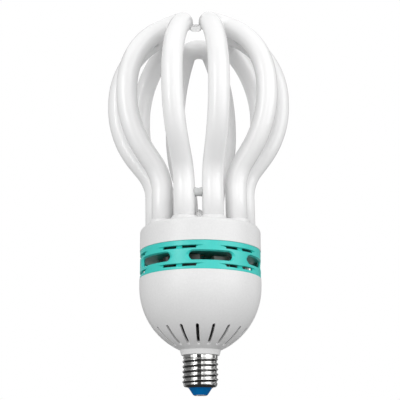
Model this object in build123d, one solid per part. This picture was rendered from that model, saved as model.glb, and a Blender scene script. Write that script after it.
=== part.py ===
from build123d import *
import math
import os

# Large fluorescent lamp: five bent U-tubes, a vented ballast housing and an E27 screw cap.
# Millimetres. +Z runs up the lamp's axis from the tip of the cap, and -Y is the front.
# An azimuth is counted from the front, positive towards +X.

# Screw cap
thread_radius = 13.1
shell_wall = 0.35
shell_length = 22.7
shell_taper_height = 3.0
shell_rim = 1.3
insulator_radius = 8.7
insulator_tip_radius = 5.4
insulator_cone_height = 5.1
insulator_shoulder_height = 3.5
contact_radius = 4.6
contact_thickness = 0.8
contact_proud = 0.4
contact_stem_radius = 1.5
contact_stem_length = 2.0
lead_hole_radius = 1.0
cap_clearance = 0.1

# Lower housing
housing_radius = 45.3
housing_wall = 2.0
neck_collar_height = 4.1
neck_collar_lower_radius = 13.9
neck_collar_upper_radius = 15.0
neck_wall = 1.6
neck_depth = 10.0
bowl_height = 51.85
bowl_rim_band = 5.0
bowl_shoulder_radius = 52.0
bowl_shoulder_turn = 34.0
bowl_slot_count = 18
bowl_slot_turn = -3.7
bowl_slot_width = 2.2
bowl_slot_margin = 4.6
bowl_slot_length = 14.8
joint_band_depth = 5.5
spigot_height = 1.8
spigot_wall = 1.7
spigot_clearance = 0.15
board_rib_count = 6
board_rib_width = 1.6
board_rib_height = 12.0
board_rib_reach = 6.5
board_rib_root = 0.4

# Vent ring
ring_step = 0.3
ring_wall = 2.0
ring_height = 20.6
long_slot_count = 6
long_slot_turn = 10.0
long_slot_width = 31.0
long_slot_height = 6.3
long_slot_drop = 10.8
long_slot_lip = 2.4
long_slot_lip_rise = 0.6
lip_depth = 0.8
lens_width = 35.0
lens_height = 2.8
lens_drops = (3.5, 16.4)
short_slot_width = 10.4
short_slot_height = 2.0
short_slot_spacing = 14.6
short_slot_inset = 0.2
ledge_width = 1.8
ledge_height = 1.0

# Tube holder
holder_side_height = 14.0
holder_shoulder = 3.2
holder_wall = 2.0
holder_plate = 2.3
holder_band_height = 2.3
socket_rise = 2.7
socket_wall = 1.6
tube_clearance = 0.25

# Discharge tubes
petal_count = 5
tube_share = 0.233
leg_inset = 11.6
leg_depth = 9.5
knee_rise = 37.1
belly_rise = 36.8
belly_run = 62.7
crown_rise = 24.1
belly_reach = 58.9
belly_half_width = 21.9
crown_reach = 26.1
crown_half_width = 8.3
burner_turn = -1.9
burner_lean = 0.9

# Share of the runs before and after each corner that its bend may take
knee_shares = (0.90, 0.26)
lower_belly_shares = (0.70, 0.40)
upper_belly_shares = (0.55, 0.78)
crown_shares = (0.20, 0.48)

# Glass bridges, silicone joints and cement
bridge_radius = 3.2
bridge_rise = 21.2
open_gap_azimuth = 144.0
silicone_radius = 3.5
silicone_length = 15.0
silicone_reach = 34.4
silicone_drop = 10.2
dab_radius = 2.9
dab_height = 8.0
cement_depth = 4.8
cement_inner_radius = 21.0
seat_gap = 0.05

# Heat shield
shield_rise = 0.55
shield_clearance = 0.1
shield_thickness = 1.5
shield_hole_radius = 1.6
shield_vent_radius = 3.0
shield_vent_reach = 20.0
shield_vent_count = 6

# Circuit board and its parts, each placed by its azimuth and its distance from the edge
board_thickness = 1.6
board_clearance = 0.2
board_proud = 0.1
filament_lead_radius = 0.35
filament_lead_offset = 2.2
post_width = 1.3
post_height = 7.0
bulk_radius = 11.0
bulk_length = 34.0
bulk_groove_height = 3.2
bulk_groove_depth = 0.7
bulk_offset = (6.0, 3.0)
choke_place = (3.0, 7.0)
choke_width = 25.0
choke_depth = 7.5
choke_height = 12.2
choke_yoke = 2.6
choke_side_leg = 3.2
choke_leg = 7.0
choke_fit = 0.15
bobbin_wall = 0.8
bobbin_flange = 1.0
bobbin_width = 16.6
winding_margin = 0.7
filter_place = (-42.0, 7.9)
filter_radius = 5.2
filter_height = 11.8
toroid_place = (101.0, 9.9)
toroid_radius = 6.2
toroid_hole_radius = 3.2
toroid_height = 5.2
film_places = ((-11.0, 6.7), (24.0, 6.5), (52.0, 6.9))
film_sizes = ((13.5, 6.0, 12.0), (12.0, 5.0, 11.0), (11.0, 6.0, 11.6))
transistor_place = (-84.0, 10.4)
transistor_width = 10.2
transistor_thickness = 4.4
transistor_height = 11.0
transistor_spacing = 12.4
sink_width = 25.0
sink_thickness = 1.5
sink_height = 12.0
sink_foot = 4.0
diode_radius = 1.4
diode_length = 5.2
diode_first_azimuth = 186.0
diode_step = 10.0
diode_inset = 8.9
diode_count = 4
thermistor_place = (77.0, 6.3)
thermistor_radius = 4.0
thermistor_thickness = 3.0
fuse_place = (-130.0, 6.9)
fuse_radius = 2.0
fuse_length = 9.0
edge_round = 0.6

# Supply leads
wire_radius = 0.6
live_start = (-15.0, 0.0)
live_drop = 30.0
live_axis_height = 30.0
live_bends = (18.0, 18.0)
neutral_start = -18.0
neutral_drop = 26.0
neutral_reach = 9.6
neutral_neck_height = 36.0
neutral_end_height = 13.0
neutral_bends = (14.0, 14.0, 2.4)

# Sizes and heights that follow from those above
long_slot_step = 360 / long_slot_count
leg_step = 360 / petal_count / 2
ring_radius = housing_radius - ring_step
leg_circle_radius = housing_radius - leg_inset
tube_radius = tube_share * leg_circle_radius
insulator_bottom = contact_proud
shell_bottom = insulator_bottom + insulator_cone_height
shell_top = shell_bottom + shell_length
collar_bottom = shell_top + cap_clearance
bowl_bottom = collar_bottom + neck_collar_height
rim_height = bowl_bottom + bowl_height
ring_bottom = rim_height
ring_top = ring_bottom + ring_height
holder_bottom = ring_top
holder_top = holder_bottom + holder_side_height + holder_shoulder
plate_bottom = holder_top - holder_plate
ring_inner_radius = ring_radius - ring_wall
long_slot_top = ring_top - long_slot_drop + long_slot_height / 2
shield_bottom = long_slot_top + shield_rise
spigot_radius = ring_inner_radius - spigot_clearance
spigot_inner_radius = spigot_radius - spigot_wall
shell_inner_radius = thread_radius - shell_wall
neck_radius = shell_inner_radius - cap_clearance
neck_bore_radius = neck_radius - neck_wall
board_radius = spigot_inner_radius - board_clearance
board_top = rim_height + board_proud
board_bottom = board_top - board_thickness
tube_end = holder_top - leg_depth
knee_height = holder_top + knee_rise
lower_belly_height = knee_height + belly_rise
upper_belly_height = lower_belly_height + belly_run
crown_height = upper_belly_height + crown_rise


def ring_profile(points):
    """Face in the XZ plane through the given radius and height pairs."""
    return make_face(Plane.XZ * Polyline(*points, close=True))


def turned(points):
    return revolve(ring_profile(points), Axis.Z)


def tube_wall(outer, inner, bottom, top):
    return turned([(inner, bottom), (outer, bottom), (outer, top), (inner, top)])


def rod(radius, bottom, top):
    return Pos(0, 0, bottom) * extrude(Circle(radius), top - bottom)


def polar(azimuth, reach, height=0.0):
    """Place at an azimuth from the front, facing outwards along its own -Y."""
    return Rot(0, 0, azimuth) * Pos(0, -reach, height)


def on_board(place, height=0.0):
    """Place on the board, at an azimuth and a distance in from its edge."""
    azimuth, inset = place
    return polar(azimuth, board_radius - inset, board_top + height)


def radial_plane(radius, height):
    """Plane at the front of a cylinder, with X to the right and Y up."""
    return Plane(origin=(0, -radius, height), x_dir=(1, 0, 0), z_dir=(0, -1, 0))


def radial_cut(sketch, height):
    """Prism of a sketch straight in through the ring's wall, at the front."""
    depth = ring_radius * (1 - math.cos(math.radians(long_slot_step / 2))) + 2 * ring_wall
    return extrude(radial_plane(ring_radius, height) * sketch, depth, both=True)


# Cap


def make_centre_contact():
    disc = rod(contact_radius, 0, contact_thickness)
    rim = disc.edges().group_by(Axis.Z)[0]
    disc = fillet(rim, contact_proud / 2)
    stem = rod(contact_stem_radius, contact_thickness, contact_thickness + contact_stem_length)
    return disc + stem


def make_cap_insulator():
    top = shell_bottom + insulator_shoulder_height
    body = turned([
        (0, insulator_bottom),
        (insulator_tip_radius, insulator_bottom),
        (insulator_radius, shell_bottom),
        (insulator_radius, top),
        (0, top),
    ])
    recess = rod(contact_radius + seat_gap, 0, contact_thickness + seat_gap)
    stem_top = contact_thickness + contact_stem_length + seat_gap
    stem_hole = rod(contact_stem_radius + seat_gap, 0, stem_top)
    lead_hole = rod(lead_hole_radius, 0, top)
    return body - recess - stem_hole - lead_hole


def make_screw_shell():
    shoulder = shell_bottom + shell_taper_height
    rim_inner = insulator_radius + cap_clearance
    rim_outer = rim_inner + shell_rim
    return turned([
        (rim_inner, shell_bottom),
        (rim_outer, shell_bottom),
        (thread_radius - shell_wall, shoulder - shell_taper_height / 3),
        (thread_radius, shoulder),
        (thread_radius, shell_top),
        (shell_inner_radius, shell_top),
        (shell_inner_radius, shoulder),
        (rim_inner, shell_bottom + 2 * shell_wall),
    ])


# Lower housing


def bowl_solid(inset, foot_radius, foot_height):
    """Bowl filled to the axis, its wall moved in by inset."""
    radius = housing_radius - inset
    band_bottom = rim_height - bowl_rim_band
    top = Vector(radius, 0, rim_height)
    band = Line(top, Vector(radius, 0, band_bottom))
    turn = math.radians(bowl_shoulder_turn)
    bend = bowl_shoulder_radius - inset
    centre = Vector(radius - bend, 0, band_bottom)
    middle = centre + Vector(math.cos(turn / 2), 0, -math.sin(turn / 2)) * bend
    lower = centre + Vector(math.cos(turn), 0, -math.sin(turn)) * bend
    shoulder = ThreePointArc(band @ 1, middle, lower)
    foot = Vector(foot_radius, 0, foot_height)
    sweep_in = TangentArc(lower, foot, tangent=Vector(-math.sin(turn), 0, -math.cos(turn)))
    floor = Polyline(foot, Vector(0, 0, foot_height), Vector(0, 0, rim_height), top)
    return revolve(make_face(Wire([band, shoulder, sweep_in] + list(floor.edges()))), Axis.Z)


def bowl_slots():
    middle = neck_collar_upper_radius + bowl_slot_margin + bowl_slot_length / 2
    outline = Rot(0, 0, 90) * SlotOverall(bowl_slot_length, bowl_slot_width)
    cutter = Pos(0, -middle, bowl_bottom) * extrude(outline, bowl_height / 2)
    step = 360 / bowl_slot_count
    return [Rot(0, 0, bowl_slot_turn + step * index) * cutter for index in range(bowl_slot_count)]


def make_lower_housing():
    outer = bowl_solid(0, neck_collar_upper_radius, bowl_bottom)
    collar = turned([
        (0, collar_bottom),
        (neck_collar_lower_radius, collar_bottom),
        (neck_collar_upper_radius, bowl_bottom),
        (0, bowl_bottom),
    ])
    neck = rod(neck_radius, collar_bottom - neck_depth, collar_bottom)
    spigot = rod(spigot_radius, rim_height, rim_height + spigot_height)
    band_bottom = rim_height - joint_band_depth
    cavity = bowl_solid(housing_wall, neck_bore_radius, bowl_bottom + housing_wall / 2)
    cavity -= tube_wall(housing_radius, spigot_inner_radius, band_bottom, rim_height)
    cavity += rod(spigot_inner_radius, band_bottom, rim_height + spigot_height)
    bore = rod(neck_bore_radius, collar_bottom - neck_depth, rim_height)
    shell = outer + collar + neck + spigot - cavity - bore
    rib_outer = housing_radius - housing_wall + board_rib_root
    rib_depth = board_rib_reach + board_rib_root
    rib = Pos(0, rib_depth / 2 - rib_outer, board_bottom - board_rib_height / 2) * Box(
        board_rib_width, rib_depth, board_rib_height)
    for index in range(board_rib_count):
        shell += Rot(0, 0, index * 360 / board_rib_count) * rib
    return shell - bowl_slots()


# Vent ring


def lens_sketch():
    """Shallow lens with a straight upper edge."""
    left = (-lens_width / 2, 0)
    right = (lens_width / 2, 0)
    edge = ThreePointArc(left, (0, -lens_height), right)
    return make_face([edge, Line(right, left)])


def make_vent_ring():
    ring = tube_wall(ring_radius, ring_inner_radius, ring_bottom, ring_top)
    ring += tube_wall(
        ring_radius - ring_wall / 2, ring_inner_radius - ledge_width,
        shield_bottom - ledge_height, shield_bottom)
    skin = tube_wall(ring_radius + ring_wall, ring_radius - lip_depth, ring_bottom, ring_top)
    slot_height = ring_top - long_slot_drop
    slot = radial_cut(SlotOverall(long_slot_width, long_slot_height), slot_height)
    lip_width = long_slot_width + 2 * long_slot_lip
    lip_height = long_slot_height + 2 * long_slot_lip_rise
    lip = radial_cut(SlotOverall(lip_width, lip_height), slot_height) & skin
    cuts = []
    for index in range(long_slot_count):
        azimuth = long_slot_turn + index * long_slot_step
        cuts += [Rot(0, 0, azimuth) * slot, Rot(0, 0, azimuth) * lip]
    short = Rectangle(short_slot_width, short_slot_height)
    for drop in lens_drops:
        lens = radial_cut(lens_sketch(), ring_top - drop) & skin
        short_height = ring_top - drop - short_slot_inset - short_slot_height / 2
        pair = [
            radial_cut(Pos(side * short_slot_spacing / 2, 0) * short, short_height)
            for side in (-1, 1)
        ]
        for index in range(long_slot_count):
            azimuth = long_slot_turn + (index + 0.5) * long_slot_step
            cuts += [Rot(0, 0, azimuth) * cutter for cutter in [lens] + pair]
    return ring - cuts


# Tubes


def corner_radius(before, corner, after, shares):
    """Largest bend that keeps to its share of the two runs."""
    run_in = corner - before
    run_out = after - corner
    reach = min(shares[0] * run_in.length, shares[1] * run_out.length)
    turn = math.radians(run_in.get_angle(run_out))
    return reach / math.tan(turn / 2)


def leg_point(height, side=1):
    half = math.radians(leg_step / 2)
    return Vector(side * leg_circle_radius * math.sin(half), -leg_circle_radius * math.cos(half), height)


def petal_path():
    """Centreline of the front tube, from one leg over the crown to the other."""
    half = [
        leg_point(tube_end),
        leg_point(knee_height),
        Vector(belly_half_width, -belly_reach, lower_belly_height),
        Vector(belly_half_width, -belly_reach, upper_belly_height),
        Vector(crown_half_width, -crown_reach, crown_height),
    ]
    points = half + [Vector(-point.X, point.Y, point.Z) for point in reversed(half)]
    shares = (knee_shares, lower_belly_shares, upper_belly_shares, crown_shares)
    radii = [
        corner_radius(points[index], points[index + 1], points[index + 2], share)
        for index, share in enumerate(shares)
    ]
    return FilletPolyline(*points, radius=radii + radii[::-1])


def burner_place(azimuth):
    """Turn to an azimuth, then the lean of the whole burner about the holder's plate."""
    lean = Pos(0, 0, holder_top) * Rot(0, -burner_lean, 0) * Pos(0, 0, -holder_top)
    return lean * Rot(0, 0, azimuth + burner_turn)


def petal_azimuths():
    return [leg_step * (2 * index + 1) for index in range(petal_count)]


def gap_azimuths():
    return [leg_step * 2 * index for index in range(petal_count)]


def swept_petal(radius):
    path = petal_path()
    section = Plane(origin=path @ 0, z_dir=path % 0) * Circle(radius)
    return sweep(section, path=path)


def leg_rods(radius, bottom, top):
    """Upright rods, each centred on its leg halfway between bottom and top."""
    rods = []
    for azimuth in petal_azimuths():
        for side in (-1, 1):
            middle = burner_place(azimuth) * Pos(leg_point((bottom + top) / 2, side))
            centre = middle.position
            rods.append(Pos(centre.X, centre.Y, 0) * rod(radius, bottom, top))
    return rods


def make_tube_holder():
    side_top = holder_top - holder_shoulder
    skirt_bottom = holder_bottom - spigot_height
    top_radius = housing_radius - holder_shoulder
    shoulder = TangentArc(
        (housing_radius, 0, side_top), (top_radius, 0, holder_top), tangent=(0, 0, 1))
    rest = Polyline(
        (top_radius, 0, holder_top), (0, 0, holder_top), (0, 0, holder_bottom),
        (housing_radius, 0, holder_bottom), (housing_radius, 0, side_top))
    body = revolve(make_face([shoulder, *rest.edges()]), Axis.Z)
    body += rod(spigot_radius, skirt_bottom, holder_bottom)
    band_top = holder_bottom + holder_band_height
    body -= rod(spigot_inner_radius, skirt_bottom, band_top)
    body -= rod(housing_radius - holder_wall, band_top, side_top)
    body -= rod(housing_radius - holder_wall - holder_shoulder, side_top, plate_bottom)
    socket = rod(tube_radius + socket_wall, plate_bottom, holder_top + socket_rise)
    for azimuth in petal_azimuths():
        for side in (-1, 1):
            foot = leg_point(0, side)
            body += Rot(0, 0, azimuth + burner_turn) * Pos(foot.X, foot.Y, 0) * socket
    bore_top = holder_top + 2 * socket_rise
    return body - leg_rods(tube_radius + tube_clearance, tube_end, bore_top)


def make_glass_bridges():
    """Short fused tubes across the gaps between neighbouring petals, all but one."""
    foot = leg_point(0)
    height = holder_top + bridge_rise
    half_span = leg_circle_radius * math.sin(math.radians(leg_step / 2))
    reach = leg_circle_radius * math.cos(math.radians(leg_step / 2))
    bar = Pos(0, -reach, height) * Rot(0, 90, 0) * Cylinder(bridge_radius, 2 * half_span)
    for side in (-1, 1):
        leg = Pos(side * half_span, -reach, height)
        bar -= leg * Cylinder(tube_radius + seat_gap, 4 * bridge_radius)
    return [burner_place(azimuth) * bar for azimuth in gap_azimuths() if azimuth != open_gap_azimuth]


def make_foot_dab():
    """Silicone pressed between the feet of the two front legs, down to the holder's plate."""
    half_span = leg_circle_radius * math.sin(math.radians(leg_step / 2))
    reach = leg_circle_radius * math.cos(math.radians(leg_step / 2))
    bottom = holder_top + seat_gap
    dome = bottom + dab_height - dab_radius
    dab = rod(dab_radius, bottom, dome) + Pos(0, 0, dome) * Sphere(dab_radius)
    dab = Rot(0, 0, burner_turn) * Pos(0, -reach, 0) * dab
    for side in (-1, 1):
        leg = Pos(side * half_span, -reach, dome) * Cylinder(tube_radius + seat_gap, 4 * dab_height)
        dab -= burner_place(0) * leg
    socket_top = holder_top + socket_rise
    return dab - leg_rods(tube_radius + socket_wall + seat_gap, plate_bottom, socket_top + seat_gap)


def make_silicone_joints(envelope):
    """Soft blobs between the crowns of neighbouring petals, and the dab at the front."""
    place = Pos(0, -silicone_reach, crown_height - silicone_drop)
    blob = place * Rot(0, 90, 0) * Cylinder(silicone_radius, silicone_length)
    neighbours = [Rot(0, 0, side * leg_step) * envelope for side in (-1, 1)]
    blob = blob - neighbours
    return [burner_place(azimuth) * blob for azimuth in gap_azimuths()] + [make_foot_dab()]


def make_tube_cement():
    outer = housing_radius - holder_wall - holder_shoulder - seat_gap
    bottom = plate_bottom - cement_depth
    body = tube_wall(outer, cement_inner_radius, bottom, plate_bottom)
    return body - leg_rods(tube_radius + seat_gap, bottom - socket_wall, plate_bottom + socket_wall)


# Ballast


def filament_places():
    """The two leads of each of the two electrode legs, beside the gap with no bridge."""
    places = []
    for side in (-1, 1):
        azimuth = open_gap_azimuth + side * leg_step / 2 + burner_turn
        for offset in (-filament_lead_offset, filament_lead_offset):
            places.append(Rot(0, 0, azimuth) * Pos(offset, -leg_circle_radius, 0))
    return places


def make_filament_leads():
    post_top = board_top + post_height
    lead = rod(filament_lead_radius, post_top, tube_end - seat_gap)
    return [place * lead for place in filament_places()]


def make_wire_posts():
    post = Pos(0, 0, board_top + post_height / 2) * Box(post_width, post_width, post_height)
    return [place * post for place in filament_places()]


def make_heat_shield():
    top = shield_bottom + shield_thickness
    shield = rod(ring_inner_radius - shield_clearance, shield_bottom, top)
    hole = rod(shield_hole_radius, shield_bottom, top)
    shield -= [place * hole for place in filament_places()]
    vent = rod(shield_vent_radius, shield_bottom, top)
    step = 360 / shield_vent_count
    shield -= [polar(index * step, shield_vent_reach) * vent for index in range(shield_vent_count)]
    return shield


def make_circuit_board():
    return rod(board_radius, board_bottom, board_top)


def make_bulk_capacitor():
    top = board_bottom
    groove = top - bulk_groove_height
    can = rod(bulk_radius, top - bulk_length, top)
    can = fillet(can.edges().filter_by(GeomType.CIRCLE), edge_round)
    can -= tube_wall(
        2 * bulk_radius, bulk_radius - bulk_groove_depth,
        groove - bulk_groove_depth, groove + bulk_groove_depth)
    return Pos(*bulk_offset) * can


def make_choke_core():
    middle = board_top + choke_height / 2
    core = Box(choke_width, choke_depth, choke_height)
    window_width = (choke_width - choke_leg) / 2 - choke_side_leg
    window_height = choke_height - 2 * choke_yoke
    offset = (choke_leg + window_width) / 2
    for side in (-1, 1):
        core -= Pos(side * offset, 0, 0) * Box(window_width, 2 * choke_depth, window_height)
    return Pos(*choke_place, middle) * core


def choke_sleeve(width, depth, height):
    return Pos(*choke_place, board_top + choke_height / 2) * Box(width, depth, height)


def make_choke_bobbin():
    height = choke_height - 2 * choke_yoke - 2 * choke_fit
    hole_width = choke_leg + 2 * choke_fit
    hole_depth = choke_depth + 2 * choke_fit
    wall = 2 * bobbin_wall
    bobbin = choke_sleeve(hole_width + wall, hole_depth + wall, height)
    flange = choke_sleeve(bobbin_width, bobbin_width, bobbin_flange)
    rise = (height - bobbin_flange) / 2
    bobbin += Pos(0, 0, rise) * flange
    bobbin += Pos(0, 0, -rise) * flange
    return bobbin - choke_sleeve(hole_width, hole_depth, choke_height)


def make_choke_winding():
    wall = 2 * bobbin_wall + 2 * choke_fit
    gap = 2 * seat_gap
    height = choke_height - 2 * choke_yoke - 2 * choke_fit - 2 * bobbin_flange - gap
    width = bobbin_width - 2 * winding_margin
    winding = choke_sleeve(width, width, height)
    winding = fillet(winding.edges().filter_by(Axis.Z), 3 * edge_round)
    return winding - choke_sleeve(choke_leg + wall + gap, choke_depth + wall + gap, choke_height)


def make_filter_choke():
    body = rod(filter_radius, 0, filter_height)
    body = fillet(body.edges().filter_by(GeomType.CIRCLE), edge_round)
    return on_board(filter_place) * body


def make_drive_toroid():
    ring = rod(toroid_radius, 0, toroid_height) - rod(toroid_hole_radius, 0, toroid_height)
    ring = fillet(ring.edges().filter_by(GeomType.CIRCLE), edge_round)
    return on_board(toroid_place) * ring


def make_film_capacitors():
    blocks = []
    for place, size in zip(film_places, film_sizes):
        block = fillet(Box(*size).edges(), edge_round)
        blocks.append(on_board(place, size[2] / 2) * block)
    return blocks


def make_power_transistors():
    behind_sink = sink_thickness / 2 + transistor_thickness / 2 + seat_gap
    body = Box(transistor_width, transistor_thickness, transistor_height)
    body = chamfer(body.edges().group_by(Axis.Y)[-1], edge_round)
    return [
        on_board(transistor_place, transistor_height / 2)
        * Pos(side * transistor_spacing / 2, behind_sink, 0) * body
        for side in (-1, 1)
    ]


def make_heat_sink():
    plate = Pos(0, 0, sink_height / 2) * Box(sink_width, sink_thickness, sink_height)
    foot_depth = sink_foot + sink_thickness
    foot = Pos(0, -sink_foot / 2, sink_thickness / 2) * Box(sink_width, foot_depth, sink_thickness)
    return on_board(transistor_place) * (plate + foot)


def lying_rod(radius, length, along_radius):
    turn = Rot(90, 0, 0) if along_radius else Rot(0, 90, 0)
    return fillet((turn * Cylinder(radius, length)).edges().filter_by(GeomType.CIRCLE), edge_round / 2)


def make_rectifier_diodes():
    diode = lying_rod(diode_radius, diode_length, True)
    azimuths = [diode_first_azimuth + index * diode_step for index in range(diode_count)]
    return [on_board((azimuth, diode_inset), diode_radius) * diode for azimuth in azimuths]


def make_thermistor():
    disc = lying_rod(thermistor_radius, thermistor_thickness, True)
    return on_board(thermistor_place, thermistor_radius) * disc


def make_fuse():
    return on_board(fuse_place, fuse_radius) * lying_rod(fuse_radius, fuse_length, False)


def swept_wire(points, radii):
    path = FilletPolyline(*points, radius=list(radii))
    section = Plane(origin=path @ 0, z_dir=path % 0) * Circle(wire_radius)
    return sweep(section, path=path)


def make_live_lead():
    x, y = live_start
    contact_top = contact_thickness + contact_stem_length + seat_gap
    return swept_wire([
        (x, y, board_bottom),
        (x, y, board_bottom - live_drop),
        (0, 0, live_axis_height),
        (0, 0, contact_top),
    ], live_bends)


def make_neutral_lead():
    y = neutral_start
    end_reach = shell_inner_radius - wire_radius - cap_clearance
    return swept_wire([
        (0, y, board_bottom),
        (0, y, board_bottom - neutral_drop),
        (0, -neutral_reach, neutral_neck_height),
        (0, -neutral_reach, collar_bottom - neck_depth - wire_radius),
        (0, -end_reach, neutral_end_height),
    ], neutral_bends)


def save(name, shape):
    """Write one node, labelled, from one solid or a list of them."""
    solids = []
    for piece in shape if isinstance(shape, list) else [shape]:
        solids += piece.solids()
    node = solids[0] if len(solids) == 1 else Compound(children=solids)
    node.label = name
    export_step(node, f"parts/{name}.step")


def main():
    os.makedirs("parts", exist_ok=True)
    save("centre_contact", make_centre_contact())
    save("cap_insulator", make_cap_insulator())
    save("screw_shell", make_screw_shell())
    save("lower_housing", make_lower_housing())
    save("vent_ring", make_vent_ring())
    save("tube_holder", make_tube_holder())
    petal = swept_petal(tube_radius)
    for index, azimuth in enumerate(petal_azimuths()):
        save(f"discharge_tube_{index + 1}", burner_place(azimuth) * petal)
    save("glass_bridges", make_glass_bridges())
    save("silicone_joints", make_silicone_joints(swept_petal(tube_radius + seat_gap)))
    save("tube_cement", make_tube_cement())
    save("heat_shield", make_heat_shield())
    save("filament_leads", make_filament_leads())
    save("wire_posts", make_wire_posts())
    save("circuit_board", make_circuit_board())
    save("bulk_capacitor", make_bulk_capacitor())
    save("choke_core", make_choke_core())
    save("choke_bobbin", make_choke_bobbin())
    save("choke_winding", make_choke_winding())
    save("filter_choke", make_filter_choke())
    save("drive_toroid", make_drive_toroid())
    save("film_capacitors", make_film_capacitors())
    save("power_transistors", make_power_transistors())
    save("heat_sink", make_heat_sink())
    save("rectifier_diodes", make_rectifier_diodes())
    save("thermistor", make_thermistor())
    save("fuse", make_fuse())
    save("live_lead", make_live_lead())
    save("neutral_lead", make_neutral_lead())


main()
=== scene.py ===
"""Large fluorescent lamp: five bent tubes, a vented ballast housing and a screw cap."""

import math

import bmesh
import bpy
from bpy.props import FloatProperty, FloatVectorProperty, IntProperty, PointerProperty
from mathutils import Matrix, Vector


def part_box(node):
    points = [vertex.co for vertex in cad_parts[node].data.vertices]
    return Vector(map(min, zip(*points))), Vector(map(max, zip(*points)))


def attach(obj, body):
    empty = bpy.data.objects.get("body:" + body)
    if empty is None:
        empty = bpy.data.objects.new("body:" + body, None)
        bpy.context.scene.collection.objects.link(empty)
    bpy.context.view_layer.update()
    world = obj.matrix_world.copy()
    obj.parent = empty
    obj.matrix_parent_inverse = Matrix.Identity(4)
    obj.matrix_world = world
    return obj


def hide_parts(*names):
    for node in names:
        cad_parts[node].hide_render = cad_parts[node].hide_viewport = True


bl_info = {
    "name": "Fluorescent Lamp",
    "version": (1, 0, 0),
    "blender": (4, 5, 0),
    "location": "3D View > Sidebar > Lamp",
    "description": "Dresses the packed lamp with its tubes, housing, cap and finishes",
    "category": "Object",
}

MM = 0.001

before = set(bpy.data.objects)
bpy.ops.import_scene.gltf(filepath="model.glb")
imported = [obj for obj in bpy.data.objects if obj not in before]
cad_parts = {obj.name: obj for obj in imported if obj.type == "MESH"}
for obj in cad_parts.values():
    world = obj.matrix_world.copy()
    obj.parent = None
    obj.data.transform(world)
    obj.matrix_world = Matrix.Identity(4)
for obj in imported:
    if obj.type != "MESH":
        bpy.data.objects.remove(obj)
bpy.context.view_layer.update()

# Heights and radii of the fixed frame, from its own nodes
CAP_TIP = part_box("cap_insulator")[0].z
CAP_BOTTOM, CAP_TOP = (corner.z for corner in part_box("screw_shell"))
RING_BOTTOM, RING_TOP = (corner.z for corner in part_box("vent_ring"))
RING_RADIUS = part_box("vent_ring")[1].x
HOUSING_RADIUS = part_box("tube_holder")[1].x
THREAD_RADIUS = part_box("screw_shell")[1].x

# Tube holder
HOLDER_SIDE = 14.0 * MM
HOLDER_SHOULDER = 3.2 * MM
HOLDER_WALL = 2.0 * MM
HOLDER_PLATE = 2.3 * MM
SOCKET_RISE = 2.7 * MM
SOCKET_WALL = 1.6 * MM
SOCKET_ROUND = 0.9 * MM
TUBE_CLEARANCE = 0.25 * MM
HOLDER_TOP = RING_TOP + HOLDER_SIDE + HOLDER_SHOULDER
PLATE_BOTTOM = HOLDER_TOP - HOLDER_PLATE
PLATE_CHAMFER = 2.0 * MM
SOCKET_ROOT = 1.0 * MM
BORE_BELOW = 3.0 * MM
BORE_ABOVE = 1.0 * MM

# Centreline of a tube
PETALS = 5
LEG_ANGLE = math.pi / PETALS
LEG_CIRCLE = HOUSING_RADIUS - 11.6 * MM
LEG_SPREAD = LEG_CIRCLE * math.sin(LEG_ANGLE / 2)
LEG_FRONT = LEG_CIRCLE * math.cos(LEG_ANGLE / 2)
LEG_DEPTH = 9.5 * MM
KNEE_RISE = 37.1 * MM
BELLY_RISE = 36.8 * MM
BELLY_RUN = 62.7 * MM
CROWN_RISE = 24.1 * MM
BELLY_REACH = 58.9 * MM
BELLY_HALF_WIDTH = 21.9 * MM
CROWN_REACH = 26.1 * MM
CROWN_HALF_WIDTH = 8.3 * MM
# Share of the run before and after each corner that its bend may take up
BEND_SHARES = ((0.90, 0.26), (0.70, 0.40), (0.55, 0.78), (0.20, 0.48))
BURNER_TURN = math.radians(-1.9)
BURNER_LEAN = math.radians(0.9)
TUBE_SIDES = 40
BEND_STEP = math.radians(2.5)

# Bridges and joints between the tubes
BRIDGE_RISE = 21.2 * MM
BRIDGE_SUNK = 0.9 * MM
BRIDGE_FLARE = 0.5 * MM
BRIDGE_NECK = 0.15 * MM
BRIDGE_WAIST = 0.1 * MM
BRIDGE_WALL = 0.9 * MM
GAP_WITHOUT_BRIDGE = 2
JOINT_REACH = 34.4 * MM
JOINT_DROP = 10.2 * MM
JOINT_STRETCH = 1.35
JOINT_WAIST = 0.16
DAB_RADIUS = 2.8 * MM
DAB_HEIGHT = 7.9 * MM
DAB_LIFT = 0.05 * MM

# Lower housing
BOWL_BOTTOM = CAP_TOP + 4.2 * MM
BOWL_WALL = 2.0 * MM
BOWL_RIM_BAND = 5.0 * MM
BOWL_SHOULDER = 52.0 * MM
BOWL_SHOULDER_TURN = math.radians(34.0)
COLLAR_BOTTOM = CAP_TOP + 0.4 * MM
COLLAR_LOWER_RADIUS = 13.9 * MM
COLLAR_UPPER_RADIUS = 15.0 * MM
NECK_RADIUS = 11.7 * MM
NECK_BORE = 11.05 * MM
NECK_DEPTH = 10.0 * MM
BOWL_SLOT_TURN = math.radians(-3.7)
BOWL_SLOT_MARGIN = 4.6 * MM
BOWL_CUT_RISE = 12.0 * MM
BOWL_CUT_DEPTH = 27.0 * MM
BOWL_ARC_STEPS = 18

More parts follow.
